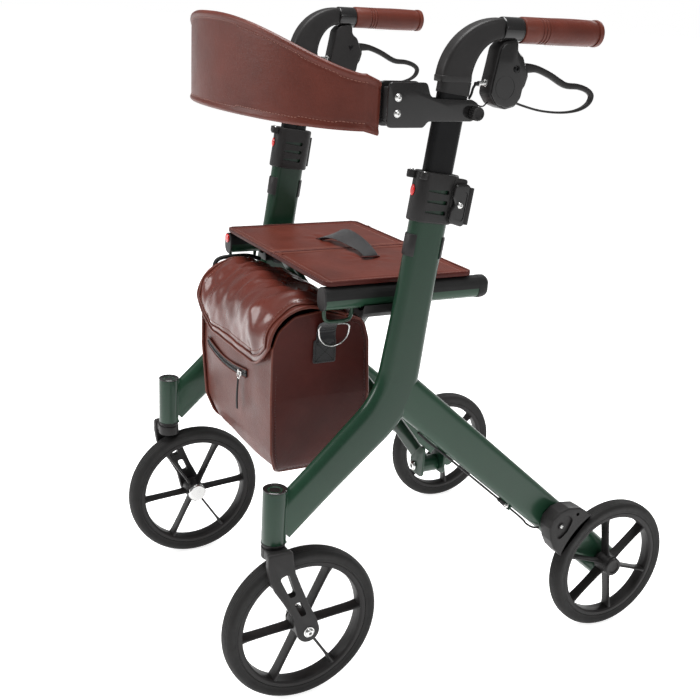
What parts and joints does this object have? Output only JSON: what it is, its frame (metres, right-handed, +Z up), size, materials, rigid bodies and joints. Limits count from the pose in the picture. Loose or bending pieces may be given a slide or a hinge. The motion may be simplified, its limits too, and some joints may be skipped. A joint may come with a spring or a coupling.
{
  "type": "rollator walker",
  "caption": "Folding rollator walker with Y-shaped side frames, padded seat, backrest strap, under-seat bag, cable brakes and swivelling front wheels.",
  "frame": {"origin": "middle of the footprint, on the floor", "axes": "+Z up; the walker rolls toward -Y and the user walks on the +Y side; +X is the left-named side"},
  "size_m": [0.562, 0.784, 0.9732],
  "materials": {
    "green_paint": "gloss",
    "black_tube": "satin",
    "black_plastic": "matte",
    "leather": "satin",
    "webbing": "matte",
    "tyre": "matte",
    "rubber": "matte",
    "steel": "polished",
    "cable": "satin"
  },
  "bodies": {
    "left_frame": {"left_frame": "green_paint", "left_height_clamp": "black_plastic", "left_rail_rest": "black_plastic", "left_rear_brake": "black_plastic", "left_lower_cable": "cable", "left_rear_axle": "black_plastic"},
    "left_handle": {"left_height_tube": "black_tube", "left_elbow": "black_plastic", "left_grip": "leather", "left_brake_housing": "black_plastic", "left_brake_cable": "cable", "left_back_bracket": "black_plastic"},
    "left_brake_lever": {"left_brake_lever": "black_plastic"},
    "left_clamp_lever": {"left_clamp_lever": "black_plastic"},
    "left_bracket_knob": {"left_bracket_knob": "black_plastic"},
    "left_back_strap": {"left_back_strap": "leather"},
    "left_brake_shoe": {"left_brake_shoe": "rubber"},
    "left_caster": {"left_caster_fork": "black_plastic", "left_front_axle": "steel"},
    "left_front_wheel": {"left_front_tyre": "tyre", "left_front_rim": "black_plastic"},
    "left_rear_wheel": {"left_rear_tyre": "tyre", "left_rear_rim": "black_plastic"},
    "right_frame": {"right_frame": "green_paint", "right_height_clamp": "black_plastic", "right_rail_rest": "black_plastic", "right_rear_brake": "black_plastic", "right_lower_cable": "cable", "right_rear_axle": "black_plastic"},
    "right_handle": {"right_height_tube": "black_tube", "right_elbow": "black_plastic", "right_grip": "leather", "right_brake_housing": "black_plastic", "right_brake_cable": "cable", "right_back_bracket": "black_plastic"},
    "right_brake_lever": {"right_brake_lever": "black_plastic"},
    "right_clamp_lever": {"right_clamp_lever": "black_plastic"},
    "right_bracket_knob": {"right_bracket_knob": "black_plastic"},
    "right_back_strap": {"right_back_strap": "leather"},
    "right_brake_shoe": {"right_brake_shoe": "rubber"},
    "right_caster": {"right_caster_fork": "black_plastic", "right_front_axle": "steel"},
    "right_front_wheel": {"right_front_tyre": "tyre", "right_front_rim": "black_plastic"},
    "right_rear_wheel": {"right_rear_tyre": "tyre", "right_rear_rim": "black_plastic"},
    "left_brace": {"left_brace": "green_paint", "right_seat_rail": "green_paint", "brace_bolt": "steel"},
    "right_brace": {"right_brace": "green_paint", "left_seat_rail": "green_paint"},
    "left_seat": {"left_seat_panel": "leather", "seat_lift_strap": "webbing"},
    "right_seat": {"right_seat_panel": "leather"},
    "bag": {"bag_body": "leather"},
    "bag_flap": {"bag_flap": "leather"}
  },
  "joints": [
    {"name": "fold", "type": "hinge", "parent": "left_frame", "child": "left_brace", "pos_m": [0.205, -0.06, 0.325], "axis": [0, 1, 0], "range_deg": [0, 33.42]},
    {"name": "brace_cross", "type": "hinge", "parent": "left_brace", "child": "right_brace", "pos_m": [0, -0.105, 0.46631], "axis": [0, 1, 0], "range_deg": [-66.89, 0]},
    {"name": "right_frame_hinge", "type": "hinge", "parent": "right_brace", "child": "right_frame", "pos_m": [-0.205, -0.06, 0.325], "axis": [0, 1, 0], "range_deg": [0, 33.47]},
    {"name": "left_seat_hinge", "type": "hinge", "parent": "right_brace", "child": "left_seat", "pos_m": [0.178, 0, 0.6065], "axis": [0, 1, 0], "range_deg": [0, 99.86], "deforming": ["left_seat_panel", "seat_lift_strap"]},
    {"name": "seat_crease", "type": "hinge", "parent": "left_seat", "child": "right_seat", "pos_m": [0, 0, 0.6065], "axis": [0, 1, 0], "range_deg": [-132.82, 0], "deforming": ["right_seat_panel"]},
    {"name": "left_strap_hinge", "type": "hinge", "parent": "left_handle", "child": "left_back_strap", "pos_m": [0.2325, -0.188, 0.855], "axis": [0, 0, 1], "range_deg": [0, 31.7]},
    {"name": "strap_middle", "type": "hinge", "parent": "left_back_strap", "child": "right_back_strap", "pos_m": [0, -0.335, 0.895], "axis": [0, 0, 1], "range_deg": [-63.35, 0]},
    {"name": "bag_hang", "type": "hinge", "parent": "right_brace", "child": "bag", "pos_m": [0.178, -0.2078, 0.5555], "axis": [0, 1, 0], "range_deg": [0, 33.47], "deforming": ["bag_body", "bag_flap"]},
    {"name": "bag_flap_hinge", "type": "hinge", "parent": "bag", "child": "bag_flap", "pos_m": [0, -0.146, 0.5425], "axis": [-1, 0, 0], "range_deg": [0, 14]},
    {"name": "left_height", "type": "slide", "parent": "left_frame", "child": "left_handle", "axis": [0, 0.1309, 0.9914], "range_m": [-0.055, 0.06]},
    {"name": "left_brake_lever_hinge", "type": "hinge", "parent": "left_handle", "child": "left_brake_lever", "pos_m": [0.238, 0.001, 0.906], "axis": [1, 0, 0], "range_deg": [0, 14], "stiffness_Nm_per_rad": 1, "springref_deg": -11.46},
    {"name": "left_brake_shoe_slide", "type": "slide", "parent": "left_frame", "child": "left_brake_shoe", "axis": [0, 0.766, -0.6428], "range_m": [0, 0.001]},
    {"name": "left_clamp_lever_hinge", "type": "hinge", "parent": "left_frame", "child": "left_clamp_lever", "pos_m": [0.2545, -0.05854, 0.72586], "axis": [0, 0.1309, 0.9914], "range_deg": [0, 90]},
    {"name": "left_bracket_knob_turn", "type": "hinge", "parent": "left_handle", "child": "left_bracket_knob", "pos_m": [0.2515, -0.0565, 0.848], "axis": [1, 0, 0], "continuous": true},
    {"name": "left_caster_swivel", "type": "hinge", "parent": "left_frame", "child": "left_caster", "pos_m": [0.2325, -0.319, 0.2575], "axis": [0, 0, 1], "continuous": true},
    {"name": "left_front_wheel_spin", "type": "hinge", "parent": "left_caster", "child": "left_front_wheel", "pos_m": [0.2325, -0.272, 0.12], "axis": [1, 0, 0], "continuous": true},
    {"name": "left_rear_wheel_spin", "type": "hinge", "parent": "left_frame", "child": "left_rear_wheel", "pos_m": [0.2605, 0.2795, 0.1125], "axis": [1, 0, 0], "continuous": true},
    {"name": "right_height", "type": "slide", "parent": "right_frame", "child": "right_handle", "axis": [0, 0.1309, 0.9914], "range_m": [-0.055, 0.06]},
    {"name": "right_brake_lever_hinge", "type": "hinge", "parent": "right_handle", "child": "right_brake_lever", "pos_m": [-0.238, 0.001, 0.906], "axis": [1, 0, 0], "range_deg": [0, 14], "stiffness_Nm_per_rad": 1, "springref_deg": -11.46},
    {"name": "right_brake_shoe_slide", "type": "slide", "parent": "right_frame", "child": "right_brake_shoe", "axis": [0, 0.766, -0.6428], "range_m": [0, 0.001]},
    {"name": "right_clamp_lever_hinge", "type": "hinge", "parent": "right_frame", "child": "right_clamp_lever", "pos_m": [-0.2545, -0.05854, 0.72586], "axis": [0, -0.1309, -0.9914], "range_deg": [0, 90]},
    {"name": "right_bracket_knob_turn", "type": "hinge", "parent": "right_handle", "child": "right_bracket_knob", "pos_m": [-0.2515, -0.0565, 0.848], "axis": [1, 0, 0], "continuous": true},
    {"name": "right_caster_swivel", "type": "hinge", "parent": "right_frame", "child": "right_caster", "pos_m": [-0.2325, -0.319, 0.2575], "axis": [0, 0, 1], "continuous": true},
    {"name": "right_front_wheel_spin", "type": "hinge", "parent": "right_caster", "child": "right_front_wheel", "pos_m": [-0.2325, -0.272, 0.12], "axis": [1, 0, 0], "continuous": true},
    {"name": "right_rear_wheel_spin", "type": "hinge", "parent": "right_frame", "child": "right_rear_wheel", "pos_m": [-0.2605, 0.2795, 0.1125], "axis": [1, 0, 0], "continuous": true}
  ],
  "couplings": [
    {"joint": "brace_cross", "follows": "fold", "ratio": -2},
    {"joint": "right_frame_hinge", "follows": "fold", "ratio": 1},
    {"joint": "left_seat_hinge", "follows": "fold", "ratio": 2.9864},
    {"joint": "seat_crease", "follows": "fold", "ratio": -3.9728},
    {"joint": "left_strap_hinge", "follows": "fold", "ratio": 0.9471},
    {"joint": "strap_middle", "follows": "fold", "ratio": -1.8942},
    {"joint": "bag_hang", "follows": "fold", "ratio": 1},
    {"joint": "right_height", "follows": "left_height", "ratio": 1},
    {"joint": "left_brake_shoe_slide", "follows": "left_brake_lever_hinge", "m_per_rad": 0.004},
    {"joint": "right_brake_shoe_slide", "follows": "right_brake_lever_hinge", "m_per_rad": 0.004}
  ]
}
